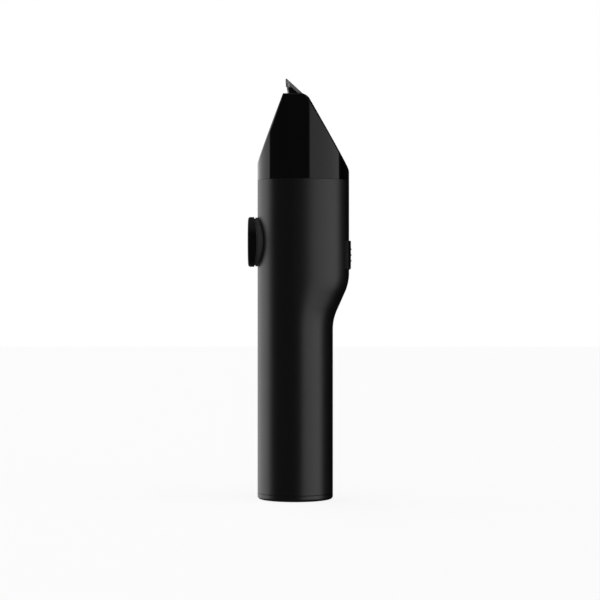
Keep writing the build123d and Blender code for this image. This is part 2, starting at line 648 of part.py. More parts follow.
# --- inner chassis: spine with shelves for the battery, the motor and the lock switch ---
BRACKET_FRONT = MOTOR_Y + MOTOR_HALF_DEPTH + 0.15
BRACKET_REAR = BRACKET_FRONT + SHELF
SPINE_HALF_WIDTH = 9.5
SHELF_TOP = MOTOR_HIGH + 2.0
END_CAP_LOW = 89.5
BOSS_RADIUS = 3.0
BOSS_TOP = MOTOR_HIGH + 1.4
MOTOR_SCREW_X = 6.2
BOARD_SCREW_HEIGHTS = (30.0, 84.0)
battery_high = BATTERY_LOW + BATTERY_LENGTH
cell_shelf_low = battery_high + TAB_THICKNESS
with BuildPart() as inner_chassis:
    brick((-SPINE_HALF_WIDTH, -BOARD_REAR, CAP_FLOOR), (SPINE_HALF_WIDTH, SPINE_REAR, SHELF_TOP))
    for shelf_low in (BATTERY_LOW - TAB_THICKNESS - SHELF, cell_shelf_low):
        shelf_corner = (SPINE_HALF_WIDTH, BRACKET_REAR - 1, shelf_low + SHELF)
        brick((-SPINE_HALF_WIDTH, SPINE_REAR, shelf_low), shelf_corner)
    brick((-SPINE_HALF_WIDTH, SPINE_REAR, END_CAP_LOW - SHELF), (SPINE_HALF_WIDTH, BRACKET_REAR, END_CAP_LOW))
    brick((-SPINE_HALF_WIDTH, BRACKET_FRONT, END_CAP_LOW), (SPINE_HALF_WIDTH, BRACKET_REAR, SHELF_TOP))
    brick((-SPINE_HALF_WIDTH, SPINE_REAR, MOTOR_HIGH), (SPINE_HALF_WIDTH, BRACKET_FRONT, SHELF_TOP))
    brick(
        (-LOCK_SWITCH_HALF_WIDTH, BRACKET_REAR, LOCK_SWITCH_LOW),
        (LOCK_SWITCH_HALF_WIDTH, LOCK_SWITCH_FRONT, LOCK_SWITCH_HIGH),
    )
    for tab_low in (BATTERY_LOW - TAB_THICKNESS, battery_high):
        tab_low_corner = (-TAB_HALF_WIDTH - TAB_GAP, -BOARD_REAR, tab_low)
        tab_high_corner = (TAB_HALF_WIDTH + TAB_GAP, SPINE_REAR, tab_low + TAB_THICKNESS)
        brick(tab_low_corner, tab_high_corner, Mode.SUBTRACT)
    with BuildSketch(Plane.XY.offset(MOTOR_HIGH)):
        with Locations((0, MOTOR_Y)):
            Circle(BOSS_RADIUS + CLEARANCE)
        with Locations((-MOTOR_SCREW_X, MOTOR_Y), (MOTOR_SCREW_X, MOTOR_Y)):
            Circle(SCREW_RADIUS)
    extrude(amount=SHELF_TOP - MOTOR_HIGH, mode=Mode.SUBTRACT)
    with BuildSketch(Plane.XZ.offset(-SPINE_REAR)):
        with Locations(*[(0, height) for height in BOARD_SCREW_HEIGHTS]):
            Circle(SCREW_RADIUS)
    extrude(amount=BOARD_REAR + SPINE_REAR, mode=Mode.SUBTRACT)
inner_chassis.part.label = "inner_chassis"
export_step(inner_chassis.part, "parts/inner_chassis.step")

# --- main board with its parts and screws ---
BOARD_HALF_WIDTH = 9.0
BOARD_LOW = 11.0
BOARD_HIGH = 122.0
with BuildPart() as main_board:
    brick((-BOARD_HALF_WIDTH, -BOARD_FRONT, BOARD_LOW), (BOARD_HALF_WIDTH, -BOARD_REAR, BOARD_HIGH))
    with BuildSketch(Plane.XZ.offset(BOARD_REAR)):
        with Locations(*[(0, height) for height in BOARD_SCREW_HEIGHTS]):
            Circle(SCREW_RADIUS)
    extrude(amount=BOARD_FRONT - BOARD_REAR, mode=Mode.SUBTRACT)
main_board.part.label = "main_board"
export_step(main_board.part, "parts/main_board.step")

BOARD_SCREW_LENGTH = BOARD_FRONT + SPINE_REAR
board_screw = screw(SCREW_RADIUS, SCREW_HEAD_RADIUS, BOARD_SCREW_LENGTH, SCREW_HEAD_HEIGHT)
with BuildPart() as board_screws:
    for height in BOARD_SCREW_HEIGHTS:
        seat = Plane(origin=(0, -BOARD_FRONT, height), x_dir=(1, 0, 0), z_dir=(0, -1, 0))
        add(seat.location * board_screw)
board_screws.part.label = "board_screws"
export_step(board_screws.part, "parts/board_screws.step")

CHIPS = [(0, 45.0, 7.0, 7.0, 1.0), (0, 62.0, 5.0, 6.0, 1.5), (0, 74.0, 6.5, 4.0, 2.2)]
with BuildPart() as control_chips:
    for x, z, width, height, thickness in CHIPS:
        with BuildSketch(Plane.XZ.offset(BOARD_FRONT)):
            with Locations((x, z)):
                RectangleRounded(width, height, 0.3)
        extrude(amount=thickness)
control_chips.part.label = "control_chips"
export_step(control_chips.part, "parts/control_chips.step")

# --- battery cell and its welded tabs ---
with BuildPart() as battery_cell:
    with BuildSketch(Plane.XY.offset(BATTERY_LOW)):
        with Locations((0, BATTERY_Y)):
            Circle(BATTERY_RADIUS)
    extrude(amount=BATTERY_LENGTH)
    fillet(battery_cell.edges().filter_by(GeomType.CIRCLE), radius=0.8)
battery_cell.part.label = "battery_cell"
export_step(battery_cell.part, "parts/battery_cell.step")

with BuildPart() as battery_tabs:
    for tab_low in (BATTERY_LOW - TAB_THICKNESS, battery_high):
        tab_end = BATTERY_Y + TAB_REACH
        brick((-TAB_HALF_WIDTH, -BOARD_REAR, tab_low), (TAB_HALF_WIDTH, tab_end, tab_low + TAB_THICKNESS))
battery_tabs.part.label = "battery_tabs"
export_step(battery_tabs.part, "parts/battery_tabs.step")

# --- charging port on its small board ---
PORT_WALL = 0.3
CHARGE_BOARD_HALF_WIDTH = 7.5
CHARGE_BOARD_LOW = 2.9
with BuildPart() as charge_socket:
    with BuildSketch(Plane.XY.offset(PORT_MOUTH)):
        SlotOverall(2 * PORT_HALF_WIDTH, 2 * PORT_HALF_HEIGHT)
    extrude(amount=PORT_END - PORT_MOUTH)
    with BuildSketch(Plane.XY.offset(PORT_MOUTH)):
        SlotOverall(2 * (PORT_HALF_WIDTH - PORT_WALL), 2 * (PORT_HALF_HEIGHT - PORT_WALL))
    extrude(amount=PORT_END - PORT_MOUTH - 1, mode=Mode.SUBTRACT)
charge_socket.part.label = "charge_socket"
export_step(charge_socket.part, "parts/charge_socket.step")

with BuildPart() as charge_tongue:
    with BuildSketch(Plane.XY.offset(PORT_MOUTH + 0.8)):
        RectangleRounded(6.7, 0.7, 0.2)
    extrude(amount=PORT_END - PORT_MOUTH - 1.8)
charge_tongue.part.label = "charge_tongue"
export_step(charge_tongue.part, "parts/charge_tongue.step")

charge_board_high = BATTERY_LOW - TAB_THICKNESS - SHELF
with BuildPart() as charge_board:
    brick(
        (-CHARGE_BOARD_HALF_WIDTH, PORT_HALF_HEIGHT, CHARGE_BOARD_LOW),
        (CHARGE_BOARD_HALF_WIDTH, PORT_HALF_HEIGHT + 1, charge_board_high),
    )
charge_board.part.label = "charge_board"
export_step(charge_board.part, "parts/charge_board.step")


# --- motor, shaft and eccentric cam ---
def motor_section(height, shrink):
    """A round can with a flat at the front and one at the back."""
    with BuildSketch(Plane.XY.offset(height)) as section:
        with Locations((0, MOTOR_Y)):
            Circle(MOTOR_RADIUS - shrink)
            Rectangle(2 * MOTOR_RADIUS, 2 * (MOTOR_HALF_DEPTH - shrink), mode=Mode.INTERSECT)
    return section.sketch


SHAFT_BOTTOM = 96.0
SHAFT_GAP = 0.05
MOTOR_SCREW_LENGTH = 4.0
with BuildPart() as motor_can:
    add(motor_section(MOTOR_LOW, 0))
    extrude(amount=MOTOR_HIGH - MOTOR_LOW, dir=(0, 0, 1))
    with BuildSketch(Plane.XY.offset(MOTOR_HIGH)):
        with Locations((0, MOTOR_Y)):
            Circle(BOSS_RADIUS)
    extrude(amount=BOSS_TOP - MOTOR_HIGH)
    with BuildSketch(Plane.XY.offset(SHAFT_BOTTOM - 0.5)):
        with Locations((0, MOTOR_Y)):
            Circle(SHAFT_RADIUS + SHAFT_GAP)
    extrude(amount=BOSS_TOP - SHAFT_BOTTOM + 0.5, mode=Mode.SUBTRACT)
    with BuildSketch(Plane.XY.offset(MOTOR_HIGH)):
        with Locations((-MOTOR_SCREW_X, MOTOR_Y), (MOTOR_SCREW_X, MOTOR_Y)):
            Circle(SCREW_RADIUS)
    extrude(amount=SHELF_TOP - MOTOR_HIGH - MOTOR_SCREW_LENGTH, mode=Mode.SUBTRACT)
motor_can.part.label = "motor_can"
export_step(motor_can.part, "parts/motor_can.step")

with BuildPart() as motor_end_cap:
    add(motor_section(END_CAP_LOW, 0.3))
    extrude(amount=MOTOR_LOW - END_CAP_LOW, dir=(0, 0, 1))
motor_end_cap.part.label = "motor_end_cap"
export_step(motor_end_cap.part, "parts/motor_end_cap.step")

motor_screw = screw(SCREW_RADIUS, 1.7, MOTOR_SCREW_LENGTH, SCREW_HEAD_HEIGHT)
with BuildPart() as motor_screws:
    for side in (-1, 1):
        add(Location((side * MOTOR_SCREW_X, MOTOR_Y, SHELF_TOP)) * motor_screw)
motor_screws.part.label = "motor_screws"
export_step(motor_screws.part, "parts/motor_screws.step")

with BuildPart() as motor_shaft:
    with BuildSketch(Plane.XY.offset(SHAFT_BOTTOM)):
        with Locations((0, MOTOR_Y)):
            Circle(SHAFT_RADIUS)
    extrude(amount=SHAFT_TOP - SHAFT_BOTTOM)
motor_shaft.part.label = "motor_shaft"
export_step(motor_shaft.part, "parts/motor_shaft.step")

with BuildPart() as eccentric_cam:
    with BuildSketch(Plane.XY.offset(CAM_LOW)):
        with Locations((0, MOTOR_Y)):
            Circle(CAM_RADIUS)
    extrude(amount=CAM_HIGH - CAM_LOW)
    with BuildSketch(Plane.XY.offset(CAM_LOW)):
        with Locations((0, MOTOR_Y)):
            Circle(SHAFT_RADIUS)
    extrude(amount=SHAFT_TOP - CAM_LOW, mode=Mode.SUBTRACT)
    with BuildSketch(Plane.XY.offset(CAM_HIGH)):
        with Locations((0, MOTOR_Y + BLADE_STROKE)):
            Circle(SHAFT_RADIUS)
    extrude(amount=CAM_PIN_TOP - CAM_HIGH)
eccentric_cam.part.label = "eccentric_cam"
export_step(eccentric_cam.part, "parts/eccentric_cam.step")
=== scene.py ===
"""Looks of the cordless hair clipper: its studio, outer mouldings, blades and inner parts."""

import math

import bmesh
import bpy
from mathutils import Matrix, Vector


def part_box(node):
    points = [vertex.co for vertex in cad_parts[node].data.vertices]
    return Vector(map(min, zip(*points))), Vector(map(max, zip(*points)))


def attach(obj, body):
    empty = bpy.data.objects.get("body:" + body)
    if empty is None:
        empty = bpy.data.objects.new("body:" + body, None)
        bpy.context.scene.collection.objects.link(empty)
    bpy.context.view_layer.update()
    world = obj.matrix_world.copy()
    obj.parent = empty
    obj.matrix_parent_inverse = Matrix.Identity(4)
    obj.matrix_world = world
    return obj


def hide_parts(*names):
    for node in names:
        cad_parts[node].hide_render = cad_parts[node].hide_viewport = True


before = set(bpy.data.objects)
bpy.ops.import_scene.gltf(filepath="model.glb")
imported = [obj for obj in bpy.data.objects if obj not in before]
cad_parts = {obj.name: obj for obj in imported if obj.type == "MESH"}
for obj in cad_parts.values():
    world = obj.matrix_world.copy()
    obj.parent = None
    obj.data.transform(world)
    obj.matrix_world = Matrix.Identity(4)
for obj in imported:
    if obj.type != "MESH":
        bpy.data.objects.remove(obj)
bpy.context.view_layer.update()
bpy.ops.object.select_all(action="DESELECT")
MM = 0.001

# ----------------------------------------------------------------------------------------
# Camera: a long lens about a metre from the clipper's side, level with the middle of its
# height, so that the base and the blades are both seen almost square on.
# ----------------------------------------------------------------------------------------
camera_distance = 920 * MM
picture_side = 248.1 * MM
camera_side, camera_height = 2.1 * MM, 82 * MM
camera_data = bpy.data.cameras.new("studio_camera")
camera_data.lens = camera_data.sensor_width * camera_distance / picture_side
camera_data.clip_start = 0.05
camera = bpy.data.objects.new("studio_camera", camera_data)
camera.location = (camera_distance, camera_side, camera_height)
camera.rotation_euler = (math.radians(90), 0, math.radians(90))
bpy.context.scene.collection.objects.link(camera)
bpy.context.scene.camera = camera
bpy.context.scene.view_settings.view_transform = "Standard"

# ----------------------------------------------------------------------------------------
# Studio: a white sweep that wraps round the left and the back, one long soft box at the
# right front, and dark felt between them. They stand in a level band round the clipper,
# and a weak light fills in the rest, weaker still from the right behind.
# ----------------------------------------------------------------------------------------
world = bpy.data.worlds.new("studio")
bpy.context.scene.world = world
world.use_nodes = True
nodes, links = world.node_tree.nodes, world.node_tree.links
nodes.clear()
PANEL_EDGE, PANEL_SOFTNESS = 0.27, 0.07
SOFT_BOX, NEAR_END, SWEEP, DARK_SIDE = (27, 98, 2), (60, 140, 35), (-172, -96, 3), (104, 190, 4)
SOFT_BOX_LIGHT, NEAR_END_LIGHT, SWEEP_LIGHT, OVERHEAD_LIGHT = 0.64, 0.2, 0.95, 0.12
FILL_LIGHT, DARK_SIDE_LOSS = 0.055, -0.045


def studio_band(value, low, high, softness):
    """1 where the value lies between low and high, and 0 elsewhere, with soft edges."""
    inside = []
    for edge, start, end in ((low, 0, 1), (high, 1, 0)):
        band = nodes.new("ShaderNodeMapRange")
        band.interpolation_type = "SMOOTHSTEP"
        links.new(value, band.inputs["Value"])
        band.inputs["From Min"].default_value = edge - softness
        band.inputs["From Max"].default_value = edge + softness
        band.inputs["To Min"].default_value = start
        band.inputs["To Max"].default_value = end
        inside.append(band.outputs["Result"])
    return studio_sum("MULTIPLY", *inside)


def studio_sum(operation, *values):
    """One step of arithmetic on node outputs and plain numbers."""
    step = nodes.new("ShaderNodeMath")
    step.operation = operation
    for socket, value in zip(step.inputs, values):
        if isinstance(value, (int, float)):
            socket.default_value = value
        else:
            links.new(value, socket)
    return step.outputs["Value"]


direction = nodes.new("ShaderNodeTexCoord")
split = nodes.new("ShaderNodeSeparateXYZ")
links.new(direction.outputs["Generated"], split.inputs["Vector"])
compass = studio_sum("DEGREES", studio_sum("ARCTAN2", split.outputs["Y"], split.outputs["X"]))
level = studio_band(split.outputs["Z"], -PANEL_EDGE, PANEL_EDGE, PANEL_SOFTNESS)
soft_box = studio_band(compass, *SOFT_BOX)
near_end = studio_sum("MULTIPLY", studio_band(compass, *NEAR_END), NEAR_END_LIGHT)
soft_box_light = studio_sum("MULTIPLY", soft_box, studio_sum("ADD", near_end, SOFT_BOX_LIGHT))
sweep_light = studio_sum("MULTIPLY", studio_band(compass, *SWEEP), SWEEP_LIGHT)
panels = studio_sum("MULTIPLY", studio_sum("ADD", soft_box_light, sweep_light), level)
overhead = studio_sum("MULTIPLY", studio_band(split.outputs["Z"], 0.8, 2, 0.15), OVERHEAD_LIGHT)
fill = studio_sum("MULTIPLY", studio_band(compass, *DARK_SIDE), DARK_SIDE_LOSS)
fill = studio_sum("ADD", fill, FILL_LIGHT)
all_round = studio_sum("ADD", studio_sum("ADD", panels, overhead), fill)
lit = nodes.new("ShaderNodeBackground")
lit.inputs["Color"].default_value = (1, 1, 1, 1)
links.new(all_round, lit.inputs["Strength"])
seen = nodes.new("ShaderNodeBackground")
seen.inputs["Color"].default_value = (1, 1, 1, 1)
rays = nodes.new("ShaderNodeLightPath")
by_ray = nodes.new("ShaderNodeMixShader")
links.new(rays.outputs["Is Camera Ray"], by_ray.inputs["Fac"])
links.new(lit.outputs["Background"], by_ray.inputs[1])
links.new(seen.outputs["Background"], by_ray.inputs[2])
world_output = nodes.new("ShaderNodeOutputWorld")
links.new(by_ray.outputs["Shader"], world_output.inputs["Surface"])

bpy.ops.mesh.primitive_plane_add(size=6, location=(0, 0, 0))
floor = bpy.context.object
floor.name = "studio_floor"
floor.data.transform(floor.matrix_world)
floor.matrix_world.identity()
floor.visible_glossy = False
floor.visible_diffuse = False
floor_paint = bpy.data.materials.new("floor_paint")
floor_paint.use_nodes = True
floor_shader = floor_paint.node_tree.nodes["Principled BSDF"]
floor_shader.inputs["Base Color"].default_value = (0.9, 0.9, 0.9, 1)
floor_shader.inputs["Roughness"].default_value = 0.9
floor_shader.inputs["Emission Color"].default_value = (1, 1, 1, 1)
floor_shader.inputs["Emission Strength"].default_value = 0.86
floor.data.materials.append(floor_paint)

# ----------------------------------------------------------------------------------------
# Body sleeve: one injection-moulded ABS tube, matte black with a fine spark-eroded grain.
# Its section is an oval, deeper at the back above the handle; a round hole takes the
# power button and a short slot the slider's stem.
# ----------------------------------------------------------------------------------------
RING_POINTS = 384


def pick(piece):
    """Makes one piece the only selected one, and the active one."""
    bpy.ops.object.select_all(action="DESELECT")
    piece.select_set(True)
    bpy.context.view_layer.objects.active = piece


def edit(piece, mode="EDGE"):
    """Opens one piece, and nothing else, in edit mode with nothing selected."""
    pick(piece)
    bpy.ops.object.mode_set(mode="EDIT")
    bpy.ops.mesh.select_mode(type=mode)
    bpy.ops.mesh.select_all(action="DESELECT")
    return bmesh.from_edit_mesh(piece.data)


def close_edit():
    """Goes back from edit mode to object mode."""
    bpy.ops.object.mode_set(mode="OBJECT")


def choose(mesh, items, test):
    """Selects those vertices, edges or faces that pass the test."""
    for item in items:
        if test(item):
            item.select = True
    mesh.select_flush_mode()


def level_with(height):
    """A test for edges that lie flat at a height."""
    return lambda edge: all(abs(vert.co.z - height) < 1e-6 for vert in edge.verts)


def settle(piece):
    """Moves a piece's place, turn and size into its mesh."""
    pick(piece)
    bpy.ops.object.transform_apply(location=True, rotation=True, scale=True)


def apply_modifiers(piece):
    """Applies all of a piece's modifiers, in their order."""
    pick(piece)
    for modifier in list(piece.modifiers):
        bpy.ops.object.modifier_apply(modifier=modifier.name)


def cut(piece, tool, operation="DIFFERENCE"):
    """Cuts, joins or keeps a piece by another closed one, which is used up."""
    modifier = piece.modifiers.new("cut", "BOOLEAN")
    modifier.operation = operation
    modifier.solver = "EXACT"
    modifier.object = tool
    apply_modifiers(piece)
    bpy.data.objects.remove(tool)


def smooth(piece, degrees=30):
    """Smooth shading with sharp edges kept, and flat faces left flat beside small roundings."""
    pick(piece)
    bpy.ops.object.shade_smooth_by_angle(angle=math.radians(degrees))
    weighted = piece.modifiers.new("weighted", "WEIGHTED_NORMAL")
    weighted.keep_sharp = True
    weighted.weight = 80
    apply_modifiers(piece)


def oval_ring(name, half_width, front, back, height, points=RING_POINTS):
    """A flat oval: half an ellipse to the front and half a deeper one to the back."""
    bpy.ops.mesh.primitive_circle_add(
        vertices=points, radius=half_width, fill_type="NGON", location=(0, 0, height)
    )
    ring = bpy.context.object
    ring.name = name
    settle(ring)
    for side, depth in ((-1, front), (1, back)):
        mesh = edit(ring, "VERT")
        choose(mesh, mesh.verts, lambda vert: side * vert.co.y > 1e-7)
        bpy.ops.transform.resize(value=(1, depth / half_width, 1), center_override=(0, 0, height))
        close_edit()
    return ring


def oval_block(name, half_width, front, back, low, high, points=RING_POINTS):
    """A closed straight prism on the oval."""
    block = oval_ring(name, half_width, front, back, low, points)
    edit(block, "FACE")
    bpy.ops.mesh.select_all(action="SELECT")
    bpy.ops.mesh.extrude_region_move(TRANSFORM_OT_translate={"value": (0, 0, high - low)})
    bpy.ops.mesh.select_all(action="SELECT")
    bpy.ops.mesh.normals_make_consistent(inside=False)
    close_edit()
    return block


sleeve_low, sleeve_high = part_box("body_sleeve")
cap_low, cap_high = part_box("base_cap")
half_width = sleeve_high.x
front_depth = -sleeve_low.y
upper_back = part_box("head_shell")[1].y
handle_back = cap_high.y
step_low, step_high = 69.9 * MM, 93.2 * MM
step_slope = math.radians(24)
step_rings = 28
wall = 1.6 * MM


def back_depth(height):
    """The back's distance from the axis: an arc, a straight slope and an arc."""
    rise, depth = step_high - step_low, upper_back - handle_back
    turn = 2 * math.sin(step_slope) * math.tan(step_slope) - 2 * (1 - math.cos(step_slope))
    radius = (rise * math.tan(step_slope) - depth) / turn
    arc_rise = radius * math.sin(step_slope)
    if height < step_low + arc_rise:
        return handle_back + radius - math.sqrt(radius**2 - (height - step_low) ** 2)
    if height > step_high - arc_rise:
        return upper_back - radius + math.sqrt(radius**2 - (step_high - height) ** 2)
    arc_depth = radius * (1 - math.cos(step_slope))
    return handle_back + arc_depth + (height - step_low - arc_rise) * math.tan(step_slope)


def stepped_tube(name, shrink, low, high):
    """The body's closed form, drawn in by shrink: handle, stepped back, upper body."""
    tube = oval_ring(name, half_width - shrink, front_depth - shrink, handle_back - shrink, low)
    mesh = edit(tube, "VERT")
    choose(mesh, mesh.verts, lambda vert: True)
    level, depth = low, handle_back
    heights = [step_low + (step_high - step_low) * index / step_rings for index in range(step_rings + 1)]
    for height in heights + [high]:
        bpy.ops.mesh.extrude_region_move(TRANSFORM_OT_translate={"value": (0, 0, height - level)})
        wanted = back_depth(min(max(height, step_low), step_high))
        mesh = bmesh.from_edit_mesh(tube.data)
        bpy.ops.mesh.select_all(action="DESELECT")
        choose(mesh, mesh.verts, lambda vert: abs(vert.co.z - height) < 1e-6 and vert.co.y > 1e-7)
        ratio = (wanted - shrink) / (depth - shrink)
        bpy.ops.transform.resize(value=(1, ratio, 1), center_override=(0, 0, height))
        choose(mesh, mesh.verts, lambda vert: abs(vert.co.z - height) < 1e-6)
        level, depth = height, wanted
    bpy.ops.mesh.select_all(action="SELECT")
    bpy.ops.mesh.normals_make_consistent(inside=False)
    close_edit()
    return tube


def moulded(name, colour, roughness, grain, grain_size, specular=0.5):
    """A moulded plastic or rubber: a fine eroded grain, and slight clouding of its sheen and tint."""
    material = bpy.data.materials.new(name)
    material.use_nodes = True
    tree = material.node_tree
    shader = tree.nodes["Principled BSDF"]
    place = tree.nodes.new("ShaderNodeTexCoord")
    fine = tree.nodes.new("ShaderNodeTexNoise")
    fine.inputs["Scale"].default_value = 1 / grain_size
    fine.inputs["Detail"].default_value = 3
    fine.inputs["Roughness"].default_value = 0.6
    tree.links.new(place.outputs["Object"], fine.inputs["Vector"])
    bump = tree.nodes.new("ShaderNodeBump")
    bump.inputs["Strength"].default_value = grain
    bump.inputs["Distance"].default_value = grain_size / 4
    tree.links.new(fine.outputs["Fac"], bump.inputs["Height"])
    tree.links.new(bump.outputs["Normal"], shader.inputs["Normal"])
    clouds = tree.nodes.new("ShaderNodeTexNoise")
    clouds.inputs["Scale"].default_value = 60
    clouds.inputs["Detail"].default_value = 4
    tree.links.new(place.outputs["Object"], clouds.inputs["Vector"])
    sheen = tree.nodes.new("ShaderNodeMapRange")
    sheen.inputs["To Min"].default_value = roughness * 0.93
    sheen.inputs["To Max"].default_value = roughness * 1.07
    tree.links.new(clouds.outputs["Fac"], sheen.inputs["Value"])
    tree.links.new(sheen.outputs["Result"], shader.inputs["Roughness"])
    tint = tree.nodes.new("ShaderNodeMix")
    tint.data_type = "RGBA"
    tint.inputs["A"].default_value = (*[part * 0.85 for part in colour], 1)
    tint.inputs["B"].default_value = (*[part * 1.15 for part in colour], 1)
    tree.links.new(clouds.outputs["Fac"], tint.inputs["Factor"])
    tree.links.new(tint.outputs["Result"], shader.inputs["Base Color"])
    shader.inputs["Specular IOR Level"].default_value = specular
    return material


body_black = moulded("body_black", (0.0036, 0.0036, 0.0038), 0.37, 0.1, 0.16 * MM, 1.0)
body_tube = stepped_tube("body_tube", 0, sleeve_low.z, sleeve_high.z)
body_inside = stepped_tube("body_inside", wall, sleeve_low.z - 1 * MM, sleeve_high.z + 1 * MM)
mesh = edit(body_tube)
choose(mesh, mesh.edges, level_with(sleeve_low.z))
choose(mesh, mesh.edges, level_with(sleeve_high.z))
bpy.ops.mesh.bevel(offset=0.15 * MM, segments=3, affect="EDGES")
close_edit()
cut(body_tube, body_inside)


def disc(name, radius, front, back, height, points=192):
    """A round block that lies along Y, between two distances from the axis."""
    bpy.ops.mesh.primitive_cylinder_add(
        vertices=points,
        radius=radius,
        depth=back - front,
        location=(0, (front + back) / 2, height),
        rotation=(math.radians(90), 0, 0),
    )
    block = bpy.context.object
    block.name = name
    settle(block)
    return block


def brick(name, low, high):
    """A square block between two corners."""
    middle = [(a + b) / 2 for a, b in zip(low, high)]
    bpy.ops.mesh.primitive_cube_add(size=1, location=middle, scale=[b - a for a, b in zip(low, high)])
    block = bpy.context.object
    block.name = name
    settle(block)
    return block


button_low, button_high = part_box("power_button_cap")
button_z = (button_low.z + button_high.z) / 2
button_radius = (button_high.z - button_low.z) / 2
cut(body_tube, disc("button_hole", button_radius, -25 * MM, -9.4 * MM, button_z))
slot_low, slot_high = (-2.46 * MM, 18 * MM, 99 * MM), (2.46 * MM, 24 * MM, 106.2 * MM)
cut(body_tube, brick("stem_slot", slot_low, slot_high))
smooth(body_tube)
body_tube.data.materials.append(body_black)
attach(body_tube, "housing")
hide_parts("body_sleeve")

# ----------------------------------------------------------------------------------------
# Base cap: the same matte ABS, pressed into the sleeve's foot with a hair-line joint. Its
# rim is rounded and the charging port's mouth is a plain slot in the middle.
# ----------------------------------------------------------------------------------------
cap_seam = sleeve_low.z
cap_rounding = 1.1 * MM
cap_shell = oval_block("cap_shell", half_width, front_depth, handle_back, cap_low.z, cap_seam)
mesh = edit(cap_shell)
choose(mesh, mesh.edges, level_with(cap_low.z))
bpy.ops.mesh.bevel(offset=cap_rounding, segments=10, affect="EDGES")
bpy.ops.mesh.select_all(action="DESELECT")
mesh = bmesh.from_edit_mesh(cap_shell.data)
choose(mesh, mesh.edges, level_with(cap_seam))
bpy.ops.mesh.bevel(offset=0.15 * MM, segments=3, affect="EDGES")
close_edit()
plug_gap, plug_wall = 1.7 * MM, 1.4 * MM
plug = oval_block(
    "plug", half_width - plug_gap, front_depth - plug_gap, handle_back - plug_gap, 2 * MM, cap_high.z
)
plug_bore = oval_block(
    "plug_bore",
    half_width - plug_gap - plug_wall,
    front_depth - plug_gap - plug_wall,
    handle_back - plug_gap - plug_wall,
    1.8 * MM,
    cap_high.z + 1 * MM,
)
cut(cap_shell, plug, "UNION")
cut(cap_shell, plug_bore)
port_low, port_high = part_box("charge_socket")
port_gap = 0.2 * MM
mouth_low = (port_low.x - port_gap, port_low.y - port_gap, -1 * MM)
mouth_high = (port_high.x + port_gap, port_high.y + port_gap, 3 * MM)
port_mouth = brick("port_mouth", mouth_low, mouth_high)
mesh = edit(port_mouth)
choose(mesh, mesh.edges, lambda edge: abs(edge.verts[0].co.z - edge.verts[1].co.z) > 1 * MM)
bpy.ops.mesh.bevel(offset=(port_high.y + port_gap) * 0.999, segments=16, affect="EDGES")
close_edit()
cut(cap_shell, port_mouth)
smooth(cap_shell)
cap_shell.data.materials.append(body_black)
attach(cap_shell, "housing")
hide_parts("base_cap")

# ----------------------------------------------------------------------------------------
# Head shell: polished black ABS, the oval cut by a steep front slope, a longer back slope
# and a flat top with a slot for the blades. A thin-walled spigot below plugs into the body.
# ----------------------------------------------------------------------------------------
shell_low, shell_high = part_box("head_shell")
head_foot = sleeve_high.z
head_top = shell_high.z
front_slope = (138.6 * MM, -4.85 * MM)
back_slope = (135.7 * MM, 4.8 * MM)
slope_rounding = 0.95 * MM
back_rounding = 4.5 * MM
spigot_gap, spigot_bore_gap = 1.7 * MM, 2.9 * MM
HEAD_POINTS = 128
ROUNDING_STEPS = 14


def slice_off(piece, point, normal):
    """Takes away what lies on the normal's side of a plane, and closes the cut."""
    edit(piece, "VERT")
    bpy.ops.mesh.select_all(action="SELECT")
    bpy.ops.mesh.bisect(plane_co=point, plane_no=normal, use_fill=True, clear_outer=True, threshold=1e-7)
    close_edit()


def tapered_block(name, shrink, low, rounding):
    """The head's closed form, drawn in by shrink, with the top's back edge planed to a rounding."""
    sizes = (half_width - shrink, front_depth - shrink, upper_back - shrink)
    block = oval_block(name, *sizes, low, head_top + 2 * MM, HEAD_POINTS)
    front_normal = Vector((0, -(head_top - front_slope[0]), front_slope[1] + front_depth)).normalized()
    back_normal = Vector((0, head_top - back_slope[0], upper_back - back_slope[1])).normalized()
    slice_off(block, Vector((0, -front_depth, front_slope[0])) - front_normal * shrink, front_normal)
    slice_off(block, Vector((0, upper_back, back_slope[0])) - back_normal * shrink, back_normal)
    slice_off(block, (0, 0, head_top - shrink), (0, 0, 1))
    turn = math.acos(back_normal.z)
    middle_y = back_slope[1] - back_rounding * math.tan(turn / 2)
    middle = Vector((0, middle_y, head_top - back_rounding))
    for step in range(1, ROUNDING_STEPS):
        lean = turn * step / ROUNDING_STEPS
        outward = Vector((0, math.sin(lean), math.cos(lean)))
        slice_off(block, middle + outward * rounding, outward)
    return block


head_skin = tapered_block("head_skin", 0, head_foot, back_rounding)
head_hollow = tapered_block("head_hollow", wall, head_foot + 1.6 * MM, back_rounding - wall)
blade_slot_low = (-16.8 * MM, -3.3 * MM, head_top - 2.5 * MM)
blade_slot_high = (16.8 * MM, 3.95 * MM, head_top + 1 * MM)
cut(head_skin, brick("blade_slot", blade_slot_low, blade_slot_high))
cut(head_skin, head_hollow)
spigot = oval_block(
    "spigot",
    half_width - spigot_gap,
    front_depth - spigot_gap,
    upper_back - spigot_gap,
    shell_low.z,
    head_foot + 0.8 * MM,
)
spigot_bore = oval_block(
    "spigot_bore",
    half_width - spigot_bore_gap,
    front_depth - spigot_bore_gap,
    upper_back - spigot_bore_gap,
    shell_low.z - 1 * MM,
    head_foot + 2.6 * MM,
)
cut(head_skin, spigot, "UNION")
cut(head_skin, spigot_bore)


def outer_oval(place):
    """How far a place lies outside the body's oval, as a share of its size; nothing on the oval itself."""
    depth = front_depth if place.y < 0 else upper_back
    return (place.x / half_width) ** 2 + (place.y / depth) ** 2 - 1


def slope_rim(edge):
    """A test for the edges where the oval's side meets a slope or the flat top."""
    outside = all(abs(outer_oval(vert.co)) < 1e-3 and vert.co.z > head_foot + 1 * MM for vert in edge.verts)
    return outside and sum(abs(face.normal.z) < 0.02 for face in edge.link_faces) == 1


